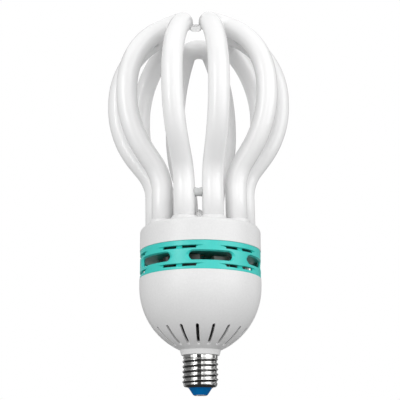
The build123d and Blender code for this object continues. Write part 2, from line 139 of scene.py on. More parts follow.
# Vent ring
RING_WALL = 2.0 * MM
RING_EDGE = 0.5 * MM
RING_STEPS = 540
RING_SKIN = 0.01 * MM
RING_CUT_DEPTH = 20.0 * MM
ROW_HEIGHT = 0.5 * MM
LEAST_ROW = 0.05 * MM
LONG_SLOTS = 6
LONG_SLOT_STEP = 2 * math.pi / LONG_SLOTS
LONG_SLOT_TURN = math.radians(10.0)
LONG_SLOT_DROP = 10.8 * MM
LIP_WIDTH = 2.4 * MM
LIP_RISE = 0.6 * MM
LIP_DEPTH = 1.4 * MM
LIP_LAND = 0.15 * MM
LENS_WIDTH = 35.0 * MM
LENS_HEIGHT = 2.8 * MM
LENS_DEPTH = 1.6 * MM
LENS_FLANK = 0.7 * MM
LENS_FLANK_SHARE = 0.4
LENS_FADE = 0.6
LENS_DROPS = (3.5 * MM, 16.4 * MM)
SHORT_SLOT_SIZE = (10.4 * MM, 2.0 * MM)
SHORT_SLOT_SPACING = 14.6 * MM
SHORT_SLOT_INSET = 0.2 * MM

# Screw cap
THREAD_TOP = 25.5 * MM
THREAD_LIFT = 0.45 * MM
THREAD_RUN_OUT = 0.9 * MM
THREAD_SHARPNESS = 1.1
THREAD_STEPS = 120
ROWS_PER_PITCH = 24
TURNS_BELOW = 1.5
SPARE_TURNS = 4
FOOT_HEIGHT = 2.3 * MM
FOOT_RADIUS = 12.3 * MM
FOOT_BEND = 2.2 * MM
FOOT_SWEEP = math.radians(62)
PLAIN_BAND_RADIUS = 12.6 * MM
RIM_RADIUS = 10.0 * MM
RIM_ROLL = 0.5 * MM
RIM_SWEEP = (math.radians(-40), math.radians(-170))
RIM_LIP = (0.7 * MM, 1.4 * MM)
INSULATOR_RADIUS = 8.7 * MM
INSULATOR_TIP_RADIUS = 5.4 * MM
INSULATOR_GAP = 0.1 * MM
INSULATOR_SUNK = 2.0 * MM
INSULATOR_EDGE = 0.3 * MM
CONTACT_RADIUS = 4.6 * MM
CONTACT_THICKNESS = 0.8 * MM
CONTACT_EDGE = 0.2 * MM

# Camera, found from the picture's own perspective
CAMERA_PLACE = (-0.0003, -0.6544, -0.0345)
CAMERA_PITCH = math.radians(105.416)
CAMERA_LENS = 80.16
CAMERA_SENSOR = 36.0

# Studio, with lengths in metres
FLOOR_HEIGHT = -0.16
FLOOR_RADIUS = 1.6
AIM_HEIGHT = 0.14
CARD_HEIGHT = 0.9
CARD_DISTANCE = 0.5
CARD_LIFT = 0.01
LOW_CARD_RADIUS = 0.6
LOW_CARD_PLACE = (0.02, -0.15)
# Height in the surround, from 0 straight below to 1 straight above, and its grey
SURROUND_TONES = ((0.15, 0.32), (0.5, 0.82), (0.8, 0.60), (1.0, 0.50))
# Azimuth and elevation in degrees, distance, width and height, and power
SOFTBOXES = {
    "left_strip": (-42, 10, 1.1, (0.08, 0.90), 2.0),
    "right_bank": (56, 15, 1.2, (0.85, 1.1), 4.7),
    "front_bank": (-12, 12, 1.5, (1.5, 0.9), 5.6),
}
CARD_TONES = {"dark": 0.01, "slate": 0.06, "grey": 0.24}
# Tone, azimuth in degrees and width
CARDS = {
    "front_card": ("slate", -9, 0.26),
    "right_card": ("grey", 100, 0.22),
    "left_card": ("grey", -104, 0.75),
    "left_back_card": ("dark", -156, 0.14),
    "right_back_card": ("grey", 140, 0.36),
}

# The part of a noise's range that a finish spreads out
NOISE_LOW = 0.3
NOISE_HIGH = 0.7

LATHE_STEPS = 144


def length_property(name, description, default):
    """A length that the panel shows in the scene's units."""
    return FloatProperty(name=name, description=description, default=default, unit="LENGTH")


def colour_property(name, description, default):
    """A colour that the panel shows as a swatch."""
    return FloatVectorProperty(
        name=name, description=description, subtype="COLOR", size=3, min=0, max=1, default=default)


class LampSizes(bpy.types.PropertyGroup):
    """Sizes of the lamp that a user would change."""
    tube_radius: length_property("Tube Radius", "Outer radius of the glass tubes", 7.85 * MM)
    bridge_radius: length_property("Bridge Radius", "Outer radius of the fused glass bridges", 3.2 * MM)
    joint_radius: length_property("Joint Radius", "Radius of the silicone joints near the crown", 3.4 * MM)
    thread_pitch: length_property("Thread Pitch", "Rise of the cap's rolled thread in one turn", 3.63 * MM)
    thread_depth: length_property("Thread Depth", "Depth of the thread from crest to root", 1.1 * MM)
    edge_round: length_property("Edge Rounding", "Width of the rounding on moulded edges", 0.25 * MM)
    long_slot_width: length_property("Long Slot Width", "Width of the ring's long slots", 31.0 * MM)
    long_slot_height: length_property("Long Slot Height", "Height of the ring's long slots", 6.3 * MM)
    bowl_slots: IntProperty(
        name="Bowl Slots", description="Number of slots round the lower housing", default=18, min=1)
    bowl_slot_length: length_property("Bowl Slot Length", "Length of the lower housing's slots", 14.8 * MM)
    bowl_slot_width: length_property("Bowl Slot Width", "Width of the lower housing's slots", 2.2 * MM)


class LampColours(bpy.types.PropertyGroup):
    """Colours of the lamp's finishes."""
    housing: colour_property("Housing", "White moulded housing", (0.82, 0.82, 0.82))
    ring: colour_property("Vent Ring", "Turquoise moulded ring", (0.045, 0.65, 0.585))
    glass: colour_property("Coated Glass", "White coating seen through the tubes", (0.93, 0.93, 0.93))
    insulator: colour_property("Insulator", "Blue cap insulator", (0.0, 0.14, 0.41))
    plating: colour_property("Plating", "Nickel plating of the cap", (0.86, 0.86, 0.85))
    contact: colour_property("Contact", "Tinned centre contact", (0.75, 0.70, 0.68))


# Node helpers


class Finish:
    """A material built up from Object coordinates, with short calls for its nodes."""

    def __init__(self, name, colour, roughness, **sockets):
        self.material = bpy.data.materials.new(name)
        self.material.use_nodes = True
        self.tree = self.material.node_tree
        self.shader = self.tree.nodes["Principled BSDF"]
        self.colour = (*colour, 1.0)
        self.shader.inputs["Base Color"].default_value = self.colour
        self.shader.inputs["Roughness"].default_value = roughness
        for socket, value in sockets.items():
            self.shader.inputs[socket.replace("_", " ")].default_value = value
        self.material.diffuse_color = self.colour
        self.coordinates = self.node("ShaderNodeTexCoord").outputs["Object"]
        self.height = None

    def node(self, kind, **settings):
        node = self.tree.nodes.new(kind)
        for key, value in settings.items():
            setattr(node, key, value)
        return node

    def link(self, output, node, socket):
        self.tree.links.new(output, node.inputs[socket])

    def noise(self, scale, detail=3.0, stretch=(1, 1, 1)):
        """Cloudy pattern of about 0 to 1."""
        place = self.node("ShaderNodeMapping")
        place.inputs["Scale"].default_value = stretch
        self.link(self.coordinates, place, "Vector")
        noise = self.node("ShaderNodeTexNoise")
        noise.inputs["Scale"].default_value = scale
        noise.inputs["Detail"].default_value = detail
        self.link(place.outputs["Vector"], noise, "Vector")
        return noise.outputs["Fac"]

    def spread(self, scale, low, high):
        """Noise brought from its usual range to low and high."""
        limits = {"From Min": NOISE_LOW, "From Max": NOISE_HIGH, "To Min": low, "To Max": high}
        span = self.node("ShaderNodeMapRange")
        for socket, number in limits.items():
            span.inputs[socket].default_value = number
        self.link(self.noise(scale), span, "Value")
        return span.outputs["Result"]

    def mottle(self, shade, scale, amount=1.0):
        """Blend the colour with a shaded version of itself in soft patches."""
        mix = self.node("ShaderNodeMix", data_type="RGBA")
        previous = self.shader.inputs["Base Color"]
        if previous.links:
            self.link(previous.links[0].from_socket, mix, "A")
        else:
            mix.inputs["A"].default_value = self.colour
        mix.inputs["B"].default_value = (*(channel * shade for channel in self.colour[:3]), 1.0)
        self.link(self.spread(scale, 0, amount), mix, "Factor")
        self.tree.links.new(mix.outputs["Result"], previous)
        return self

    def roughen(self, low, high, scale):
        self.link(self.spread(scale, low, high), self.shader, "Roughness")
        return self

    def bump(self, distance, scale, detail=3.0, stretch=(1, 1, 1)):
        """Relief from noise."""
        return self.relief(distance, self.noise(scale, detail, stretch))

    def relief(self, distance, pattern):
        """Add a layer of relief of this many metres."""
        bump = self.node("ShaderNodeBump")
        bump.inputs["Strength"].default_value = 1.0
        bump.inputs["Distance"].default_value = distance
        self.link(pattern, bump, "Height")
        if self.height:
            self.link(self.height, bump, "Normal")
        self.height = bump.outputs["Normal"]
        self.link(self.height, self.shader, "Normal")
        return self

    def bands(self, scale, direction, distortion):
        """Pattern of even stripes across one direction."""
        wave = self.node("ShaderNodeTexWave", bands_direction=direction)
        wave.inputs["Scale"].default_value = scale
        wave.inputs["Distortion"].default_value = distortion
        self.link(self.coordinates, wave, "Vector")
        return wave.outputs["Fac"]


# Mesh helpers


def lathe(points, steps=LATHE_STEPS, closed=True):
    """Turn radius and height pairs round the lamp's axis."""
    mesh = bmesh.new()
    corners = [mesh.verts.new((radius, 0, height)) for radius, height in points]
    edges = [mesh.edges.new(pair) for pair in zip(corners, corners[1:])]
    if closed:
        edges.append(mesh.edges.new((corners[-1], corners[0])))
    bmesh.ops.spin(
        mesh, geom=corners + edges, cent=(0, 0, 0), axis=(0, 0, 1), dvec=(0, 0, 0),
        angle=2 * math.pi, steps=steps, use_merge=True, use_duplicate=False)
    return tidy(mesh)


def tidy(mesh):
    """Merge doubles and point the faces outwards."""
    bmesh.ops.remove_doubles(mesh, verts=mesh.verts, dist=0.001 * MM)
    bmesh.ops.recalc_face_normals(mesh, faces=mesh.faces)
    return mesh


def placed(mesh, place):
    """Move a mesh to its place."""
    bmesh.ops.transform(mesh, verts=mesh.verts, matrix=place)
    return mesh


def arc(centre, radius, start, end, steps):
    """Radius and height pairs on an arc, angles counted from the outward direction."""
    angles = [start + (end - start) * step / steps for step in range(steps + 1)]
    return [
        (centre[0] + radius * math.cos(angle), centre[1] + radius * math.sin(angle))
        for angle in angles
    ]


def prism(outline, depth, place):
    """Extrude a flat face along its own Z, centred, and put it in place."""
    made = bmesh.ops.extrude_face_region(outline, geom=outline.faces[:])
    far = [item for item in made["geom"] if isinstance(item, bmesh.types.BMVert)]
    bmesh.ops.translate(outline, verts=far, vec=(0, 0, depth))
    bmesh.ops.translate(outline, verts=outline.verts, vec=(0, 0, -depth / 2))
    return tidy(placed(outline, place))


def stadium(width, height, segments):
    """Flat slot outline: a circle drawn out along X."""
    outline = bmesh.new()
    bmesh.ops.create_circle(outline, cap_ends=True, radius=height / 2, segments=segments)
    bmesh.ops.rotate(
        outline, verts=outline.verts, cent=(0, 0, 0),
        matrix=Matrix.Rotation(math.pi / segments, 3, "Z"))
    for side in (-1, 1):
        half = [vert for vert in outline.verts if vert.co.x * side > 0]
        bmesh.ops.translate(outline, verts=half, vec=(side * (width - height) / 2, 0, 0))
    return outline


def rectangle(width, height):
    """Flat outline of a short slot or a card."""
    outline = bmesh.new()
    bmesh.ops.create_grid(outline, x_segments=1, y_segments=1, size=0.5)
    bmesh.ops.scale(outline, verts=outline.verts, vec=(width, height, 1))
    return outline


def ring_place(turn, height):
    """Place of an outline on the ring's front wall, turned round the lamp."""
    return (
        Matrix.Rotation(turn, 4, "Z")
        @ Matrix.Translation((0, -RING_RADIUS, height))
        @ Matrix.Rotation(math.pi / 2, 4, "X")
    )


def new_piece(name, meshes):
    """One piece made of several bmeshes."""
    data = bpy.data.meshes.new(name)
    whole = bmesh.new()
    for mesh in meshes:
        part = bpy.data.meshes.new(name)
        mesh.to_mesh(part)
        mesh.free()
        whole.from_mesh(part)
        bpy.data.meshes.remove(part)
    whole.to_mesh(data)
    whole.free()
    piece = bpy.data.objects.new(name, data)
    bpy.context.scene.collection.objects.link(piece)
    return piece


def settle(piece):
    """Turn a piece's modifiers into its mesh."""
    bpy.context.view_layer.update()
    graph = bpy.context.evaluated_depsgraph_get()
    data = bpy.data.meshes.new_from_object(piece.evaluated_get(graph))
    piece.modifiers.clear()
    old = piece.data
    piece.data = data
    bpy.data.meshes.remove(old)


def combine(piece, meshes, operation="DIFFERENCE"):
    """Cut a piece with solid meshes that don't touch each other, or join them to it."""
    tool = new_piece("tool", meshes)
    boolean = piece.modifiers.new("Boolean", "BOOLEAN")
    boolean.operation = operation
    boolean.solver = "EXACT"
    boolean.object = tool
    settle(piece)
    bpy.data.objects.remove(tool)


def round_edges(piece, width):
    """Small moulded radius along the sharp edges."""
    bevel = piece.modifiers.new("Bevel", "BEVEL")
    bevel.width = width
    bevel.segments = 2
    bevel.limit_method = "ANGLE"
    bevel.angle_limit = math.radians(35)
    bevel.use_clamp_overlap = False
    bevel.miter_outer = "MITER_ARC"
    settle(piece)


def dress(piece, material, nodes, sharp=None):
    """Give a piece its finish, and the place of the nodes that it stands for."""
    piece.data.materials.clear()
    piece.data.materials.append(material)
    for face in piece.data.polygons:
        face.use_smooth = True
        face.material_index = 0
    if sharp:
        piece.data.set_sharp_from_angle(angle=math.radians(sharp))
        normal = piece.modifiers.new("Weighted Normal", "WEIGHTED_NORMAL")
        normal.keep_sharp = True
        normal.weight = 80
    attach(piece, "root")
    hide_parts(*nodes)


def burner_place(azimuth):
    """Turn round the lamp, then the lean of the whole burner about the holder's plate."""
    plate = Matrix.Translation((0, 0, HOLDER_TOP))
    lean = plate @ Matrix.Rotation(-BURNER_LEAN, 4, "Y") @ plate.inverted()
    return lean @ Matrix.Rotation(azimuth + BURNER_TURN, 4, "Z")


def leg_point(height, side=1):
    """Point on the axis of a front leg, on the right where side is 1."""
    return Vector((side * LEG_SPREAD, -LEG_FRONT, height))


def petal_corners():
    """Corners of the front tube's centreline, from one leg over the crown to the other."""
    knee = HOLDER_TOP + KNEE_RISE
    belly = knee + BELLY_RISE
    shoulder = belly + BELLY_RUN
    half = [
        leg_point(HOLDER_TOP - LEG_DEPTH),
        leg_point(knee),
        Vector((BELLY_HALF_WIDTH, -BELLY_REACH, belly)),
        Vector((BELLY_HALF_WIDTH, -BELLY_REACH, shoulder)),
        Vector((CROWN_HALF_WIDTH, -CROWN_REACH, shoulder + CROWN_RISE)),
    ]
    return half + [Vector((-point.x, point.y, point.z)) for point in reversed(half)]


def carry(mesh, ring, move):
    """Extrude a ring of edges in a straight run."""
    made = bmesh.ops.extrude_edge_only(mesh, edges=ring)["geom"]
    verts = [item for item in made if isinstance(item, bmesh.types.BMVert)]
    bmesh.ops.translate(mesh, verts=verts, vec=move)
    return [item for item in made if isinstance(item, bmesh.types.BMEdge) and len(item.link_faces) < 2]


def bent_tube(corners, shares, radius):
    """Tube along straight runs and round bends, each bend spun about its own centre."""
    mesh = bmesh.new()
    bmesh.ops.create_circle(mesh, cap_ends=True, radius=radius, segments=TUBE_SIDES)
    bmesh.ops.translate(mesh, verts=mesh.verts, vec=corners[0])
    ring = mesh.edges[:]
    here = corners[0]
    for before, corner, after, share in zip(corners, corners[1:], corners[2:], shares):
        run_in = corner - before
        run_out = after - corner
        reach = min(share[0] * run_in.length, share[1] * run_out.length)
        turn = run_in.angle(run_out)
        start = corner - run_in.normalized() * reach
        ring = carry(mesh, ring, start - here)
        axis = run_in.cross(run_out).normalized()
        centre = start + axis.cross(run_in).normalized() * reach / math.tan(turn / 2)
        last = bmesh.ops.spin(
            mesh, geom=ring + list({vert for edge in ring for vert in edge.verts}), cent=centre,
            axis=axis, dvec=(0, 0, 0), angle=turn, steps=max(3, round(turn / BEND_STEP)),
            use_merge=False, use_duplicate=False)["geom_last"]
        ring = [item for item in last if isinstance(item, bmesh.types.BMEdge)]
        here = corner + run_out.normalized() * reach
    ring = carry(mesh, ring, corners[-1] - here)
    bmesh.ops.contextual_create(mesh, geom=ring)
    return tidy(mesh)


# Finishes


def moulded_white(name):
    """Neutral white plastic with a fine moulded grain."""
    colour = bpy.context.scene.lamp_colours.housing
    finish = Finish(name, colour, roughness=0.38, Specular_IOR_Level=0.45)
    finish.mottle(shade=0.98, scale=35).mottle(shade=0.93, scale=700, amount=0.7)
    finish.roughen(0.33, 0.44, scale=120)
    finish.bump(0.03 * MM, scale=800).bump(0.02 * MM, scale=60)
    return finish.material


def moulded_turquoise(name):
    """Clear turquoise plastic with the same grain."""
    colour = bpy.context.scene.lamp_colours.ring
    finish = Finish(name, colour, roughness=0.32, Specular_IOR_Level=0.5)
    finish.mottle(shade=0.95, scale=45).mottle(shade=0.90, scale=700, amount=0.7)
    finish.roughen(0.28, 0.40, scale=150)
    finish.bump(0.025 * MM, scale=800).bump(0.02 * MM, scale=70)
    return finish.material


def coated_tube(name):
    """White coating under smooth drawn glass."""
    colour = bpy.context.scene.lamp_colours.glass
    coat = {"Coat_Weight": 0.8, "Coat_Roughness": 0.03}
    finish = Finish(name, colour, roughness=0.35, Specular_IOR_Level=0.25, **coat)
    finish.mottle(shade=0.97, scale=28).mottle(shade=0.975, scale=600, amount=0.7)
    finish.roughen(0.28, 0.42, scale=45)
    finish.bump(0.02 * MM, scale=26, detail=1, stretch=(1, 1, 0.35))
    return finish.material


def clear_glass(name):
    """Fused glass, a little wavy."""
    finish = Finish(name, (0.94, 0.95, 0.95), roughness=0.08, IOR=1.5, Transmission_Weight=0.5)
    finish.mottle(shade=0.95, scale=120).roughen(0.05, 0.14, scale=150)
    finish.bump(0.03 * MM, scale=160)
    return finish.material


def clear_silicone(name):
    """Translucent rubber with a dabbed surface."""
    finish = Finish(name, (0.95, 0.95, 0.95), roughness=0.10, IOR=1.41, Transmission_Weight=0.85)
    finish.mottle(shade=0.93, scale=200).roughen(0.08, 0.2, scale=200)
    finish.bump(0.12 * MM, scale=320)
    return finish.material


def nickel_plate(name):
    """Bright plating with fine scuffs that run round the thread."""
    colour = bpy.context.scene.lamp_colours.plating
    finish = Finish(name, colour, roughness=0.05, Metallic=1.0)
    finish.mottle(shade=0.90, scale=180).roughen(0.03, 0.11, scale=240)
    finish.bump(0.003 * MM, scale=900, detail=4, stretch=(1, 1, 5)).bump(0.010 * MM, scale=110)
    return finish.material


def blue_enamel(name):
    """Nearly matt blue coat."""
    colour = bpy.context.scene.lamp_colours.insulator
    finish = Finish(name, colour, roughness=0.45, Specular_IOR_Level=0.06)
    finish.mottle(shade=0.85, scale=260).roughen(0.38, 0.52, scale=300)
    finish.bump(0.01 * MM, scale=1200)
    return finish.material


def tinned_metal(name, colour, roughness):
    """Plain metal with faint stains."""
    finish = Finish(name, colour, roughness, Metallic=1.0)
    finish.mottle(shade=0.8, scale=500).roughen(roughness * 0.8, roughness * 1.3, scale=600)
    finish.bump(0.03 * MM, scale=700)
    return finish.material


def plain_solid(name, colour, roughness, shade=0.85, grain=0.01, scale=900):
    """Moulded, sleeved or potted part with a little unevenness."""
    finish = Finish(name, colour, roughness)
    finish.mottle(shade, scale / 8).roughen(roughness * 0.85, min(1.0, roughness * 1.2), scale / 3)
    finish.bump(grain * MM, scale)
    return finish.material


def wound_copper(name):
    """Enamelled wire laid in close turns."""
    finish = Finish(name, (0.55, 0.20, 0.07), roughness=0.3, Metallic=0.8)
    finish.mottle(shade=0.7, scale=300)
    finish.relief(0.12 * MM, finish.bands(1000, "Z", distortion=0.6))
    return finish.material


def laminate(name):
    """Phenolic board with faint cloth marks."""
    finish = Finish(name, (0.33, 0.20, 0.08), roughness=0.45)
    finish.mottle(shade=0.75, scale=90)
    finish.relief(0.02 * MM, finish.bands(700, "X", distortion=1.0))
    return finish.material


# Pieces


class LAMP_OT_discharge_tubes(bpy.types.Operator):
    """Bend the five coated glass tubes and set them in the holder"""
    bl_idname = "lamp.discharge_tubes"
    bl_label = "Discharge Tubes"

    def execute(self, context):
        material = coated_tube("coated_glass")
        shares = BEND_SHARES + tuple((after, before) for before, after in reversed(BEND_SHARES))
        corners = petal_corners()
        radius = context.scene.lamp_sizes.tube_radius
        for index in range(PETALS):
            place = burner_place(LEG_ANGLE * (2 * index + 1))
            mesh = placed(bent_tube(corners, shares, radius), place)
            tube = new_piece(f"bent_tube_{index + 1}", [mesh])
            dress(tube, material, [f"discharge_tube_{index + 1}"])
        return {"FINISHED"}


class LAMP_OT_glass_bridges(bpy.types.Operator):
    """Fuse the short clear bridges between neighbouring tubes"""
    bl_idname = "lamp.glass_bridges"
    bl_label = "Glass Bridges"

    def execute(self, context):
        sizes = context.scene.lamp_sizes
        half = LEG_SPREAD - sizes.tube_radius
        sunk = half + BRIDGE_SUNK
        radius = sizes.bridge_radius
        flare = radius + BRIDGE_FLARE
        neck = radius + BRIDGE_NECK
        bore = radius - BRIDGE_WALL
        profile = [
            (flare, -sunk), (neck, BRIDGE_FLARE - half), (radius - BRIDGE_WAIST, 0),
            (neck, half - BRIDGE_FLARE), (flare, sunk),
            (bore, sunk), (bore - BRIDGE_WAIST, 0), (bore, -sunk),
        ]
        spot = Matrix.Translation((0, -LEG_FRONT, HOLDER_TOP + BRIDGE_RISE))
        flat = spot @ Matrix.Rotation(math.pi / 2, 4, "Y")
        meshes = [
            placed(lathe(profile, steps=40), burner_place(LEG_ANGLE * 2 * index) @ flat)
            for index in range(PETALS) if index != GAP_WITHOUT_BRIDGE
        ]
        bridges = new_piece("fused_bridges", meshes)
        dress(bridges, clear_glass("clear_glass"), ["glass_bridges"])
        return {"FINISHED"}


class LAMP_OT_silicone_joints(bpy.types.Operator):
    """Dab the soft clear joints between the tubes near the crown"""
    bl_idname = "lamp.silicone_joints"
    bl_label = "Silicone Joints"

    def execute(self, context):
        radius = context.scene.lamp_sizes.joint_radius
        crown = HOLDER_TOP + KNEE_RISE + BELLY_RISE + BELLY_RUN + CROWN_RISE
        spot = Matrix.Translation((0, -JOINT_REACH, crown - JOINT_DROP))
        meshes = []
        for index in range(PETALS):
            mesh = bmesh.new()
            bmesh.ops.create_icosphere(mesh, subdivisions=4, radius=radius)
            for vert in mesh.verts:
                waist = 1 - JOINT_WAIST * math.cos(vert.co.x / radius * math.pi / 2) ** 2
                vert.co = Vector((vert.co.x * JOINT_STRETCH, vert.co.y * waist, vert.co.z * waist))
            meshes.append(placed(mesh, burner_place(LEG_ANGLE * 2 * index) @ spot))
        meshes.append(self.foot_dab())
        joints = new_piece("soft_joints", meshes)
        dress(joints, clear_silicone("silicone"), ["silicone_joints"])
        return {"FINISHED"}

    def foot_dab(self):
        """Domed dab between the feet of the two front legs."""
        foot = HOLDER_TOP + DAB_LIFT
        dome = foot + DAB_HEIGHT - DAB_RADIUS
        profile = [(0, foot), (DAB_RADIUS, foot)] + arc((0, dome), DAB_RADIUS, 0, math.pi / 2, steps=12)
        place = Matrix.Rotation(BURNER_TURN, 4, "Z") @ Matrix.Translation((0, -LEG_FRONT, 0))
        return placed(lathe(profile, steps=40), place)


class LAMP_OT_tube_holder(bpy.types.Operator):
    """Turn the tube holder, raise its ten sockets and bore them"""
    bl_idname = "lamp.tube_holder"
    bl_label = "Tube Holder"

    def execute(self, context):
        sizes = context.scene.lamp_sizes
        inner = HOUSING_RADIUS - HOLDER_WALL
        side_top = HOLDER_TOP - HOLDER_SHOULDER
        bend = (HOUSING_RADIUS - HOLDER_SHOULDER, side_top)
        shoulder = arc(bend, HOLDER_SHOULDER, 0, math.pi / 2, steps=10)
        profile = [(inner, RING_TOP), (HOUSING_RADIUS, RING_TOP)] + shoulder + [
            (0, HOLDER_TOP), (0, PLATE_BOTTOM), (inner - PLATE_CHAMFER, PLATE_BOTTOM), (inner, side_top)]
        holder = new_piece("holder_body", [lathe(profile)])
        socket = sizes.tube_radius + SOCKET_WALL
        top = HOLDER_TOP + SOCKET_RISE
        crest = arc((socket - SOCKET_ROUND, top - SOCKET_ROUND), SOCKET_ROUND, 0, math.pi / 2, steps=6)
        root = PLATE_BOTTOM + SOCKET_ROOT
        collar = [(0, root), (socket, root)] + crest + [(0, top)]
        bore = sizes.tube_radius + TUBE_CLEARANCE
        start = PLATE_BOTTOM - BORE_BELOW
        end = top + BORE_ABOVE
        hole = [(0, start), (bore, start), (bore, end), (0, end)]
        combine(holder, self.at_legs(collar), "UNION")
        combine(holder, self.at_legs(hole))
        round_edges(holder, sizes.edge_round)
        dress(holder, moulded_white("white_upper"), ["tube_holder"], sharp=40)
        return {"FINISHED"}

    def at_legs(self, profile):
        """The same turned shape at each of the ten legs."""
        meshes = []
        for index in range(PETALS):
            turn = Matrix.Rotation(LEG_ANGLE * (2 * index + 1) + BURNER_TURN, 4, "Z")
            for side in (-1, 1):
                place = turn @ Matrix.Translation(leg_point(0, side))
                meshes.append(placed(lathe(profile, steps=64), place))
        return meshes


class LAMP_OT_vent_ring(bpy.types.Operator):
    """Turn the vent ring and cut its long slots, lens recesses and short slots"""
    bl_idname = "lamp.vent_ring"
    bl_label = "Vent Ring"

    def execute(self, context):
        sizes = context.scene.lamp_sizes
        slot_turns = [LONG_SLOT_TURN + index * LONG_SLOT_STEP for index in range(LONG_SLOTS)]
        slot_height = RING_TOP - LONG_SLOT_DROP
        even_marks = [mark for mark, _ in self.marks(sizes, slot_height)]
        mesh = lathe(self.outline(even_marks), RING_STEPS)
        for vert in mesh.verts:
            if math.hypot(vert.co.x, vert.co.y) > RING_RADIUS - RING_SKIN:
                self.sink(vert, sizes, slot_height)
        bmesh.ops.recalc_face_normals(mesh, faces=mesh.faces)
        ring = new_piece("turquoise_ring", [mesh])
        longs = []
        for turn in slot_turns:
            outline = stadium(sizes.long_slot_width, sizes.long_slot_height, segments=48)
            longs.append(prism(outline, RING_CUT_DEPTH, ring_place(turn, slot_height)))
        combine(ring, longs)
        shorts = []
        for drop in LENS_DROPS:
            height = RING_TOP - drop - SHORT_SLOT_INSET - SHORT_SLOT_SIZE[1] / 2
            for turn in slot_turns:
                for side in (-1, 1):
                    shift = Matrix.Translation((side * SHORT_SLOT_SPACING / 2, 0, 0))
                    place = ring_place(turn + LONG_SLOT_STEP / 2, height) @ shift
                    shorts.append(prism(rectangle(*SHORT_SLOT_SIZE), RING_CUT_DEPTH, place))
        combine(ring, shorts)
        dress(ring, moulded_turquoise("turquoise_plastic"), ["vent_ring"], sharp=24)
        return {"FINISHED"}

    def marks(self, sizes, slot_height, from_slot=0.0, from_lens=0.0):
        """Heights where the recesses start and end, at their middles and this far from them."""
        half = sizes.long_slot_height / 2
        inner = half + LIP_LAND
        outer = half + LIP_RISE
        here_inner = inner
        here_outer = outer
        past = max(0.0, abs(from_slot) - sizes.long_slot_width / 2 + half)
        wide = half + LIP_WIDTH
        if past < wide:
            here_inner = math.sqrt(max(LEAST_ROW, inner - past) * (inner + past))
            here_outer = max(here_inner + LEAST_ROW, outer * math.sqrt(1 - (past / wide) ** 2))
        pairs = [(height, height) for height in (RING_BOTTOM + RING_EDGE, RING_TOP - RING_EDGE)]
        for side in (-1, 1):
            pairs.append((slot_height + side * inner, slot_height + side * here_inner))
            pairs.append((slot_height + side * outer, slot_height + side * here_outer))
        fall = LENS_HEIGHT
        if abs(from_lens) < LENS_WIDTH / 2:
            fall = max(LEAST_ROW, self.lens_fall(from_lens))
        flank = min(LENS_FLANK, LENS_FLANK_SHARE * fall)
        for drop in LENS_DROPS:
            top = RING_TOP - drop
            pairs += [(top, top), (top - LENS_FLANK, top - flank), (top - LENS_HEIGHT, top - fall)]
        return sorted(pairs)

    def outline(self, marks):
        """Section of the ring with close rows between the marks."""
        inner = RING_RADIUS - RING_WALL
        rows = []
        for low, high in zip(marks, marks[1:]):
            parts = math.ceil((high - low) / ROW_HEIGHT)
            rows += [low + (high - low) * part / parts for part in range(1, parts + 1)]
        rim = RING_RADIUS - RING_EDGE
        lower = arc((rim, RING_BOTTOM + RING_EDGE), RING_EDGE, -math.pi / 2, 0, steps=6)
        upper = arc((rim, RING_TOP - RING_EDGE), RING_EDGE, 0, math.pi / 2, steps=6)
        wall = [(RING_RADIUS, height) for height in rows[:-1]]
        return [(inner, RING_BOTTOM)] + lower + wall + upper + [(inner, RING_TOP)]

    def sink(self, vert, sizes, slot_height):
        """Slide the rows to the recesses' edges, then press the skin in at the lips and scoops."""
        turn = math.atan2(vert.co.x, -vert.co.y) - LONG_SLOT_TURN
        from_slot = RING_RADIUS * math.sin(math.remainder(turn, LONG_SLOT_STEP))
        from_lens = RING_RADIUS * math.sin(math.remainder(turn - LONG_SLOT_STEP / 2, LONG_SLOT_STEP))
        marks = self.marks(sizes, slot_height, from_slot, from_lens)
        for (low, here_low), (high, here_high) in zip(marks, marks[1:]):
            if low <= vert.co.z <= high:
                vert.co.z = here_low + (here_high - here_low) * (vert.co.z - low) / (high - low)
                break
        depth = self.lip_depth(sizes, from_slot, vert.co.z - slot_height)
        for drop in LENS_DROPS:
            depth = max(depth, self.lens_depth(from_lens, vert.co.z - RING_TOP + drop))
        share = 1 - depth / RING_RADIUS
        vert.co.x *= share
        vert.co.y *= share

    def lip_depth(self, sizes, across, up):
        """Depth of the dished lip round a long slot, from its land out to the skin."""
        half = sizes.long_slot_height / 2
        past = max(0.0, abs(across) - sizes.long_slot_width / 2 + half)
        reach = math.hypot(past, up)
        land = half + LIP_LAND
        if reach <= land:
            return LIP_DEPTH
        outer = reach / math.hypot(past / (half + LIP_WIDTH), up / (half + LIP_RISE))
        return LIP_DEPTH * max(0.0, 1 - (reach - land) / (outer - land))

    def lens_fall(self, across):
        """Height of the lens at this distance from its middle."""
        bend = (LENS_WIDTH * LENS_WIDTH / 4 + LENS_HEIGHT * LENS_HEIGHT) / (2 * LENS_HEIGHT)
        return math.sqrt(bend * bend - across * across) - bend + LENS_HEIGHT

    def lens_depth(self, across, up):
        """Depth of a scoop that drops steeply under its flat top edge and fades out at its arc."""
        if abs(across) >= LENS_WIDTH / 2:
            return 0.0
        fall = self.lens_fall(across)
        flank = min(LENS_FLANK, LENS_FLANK_SHARE * fall)
        share = min(-up / flank, (up + fall) / (fall - flank))
        return LENS_DEPTH * max(0.0, share) * min(1.0, fall / LENS_HEIGHT / LENS_FADE)


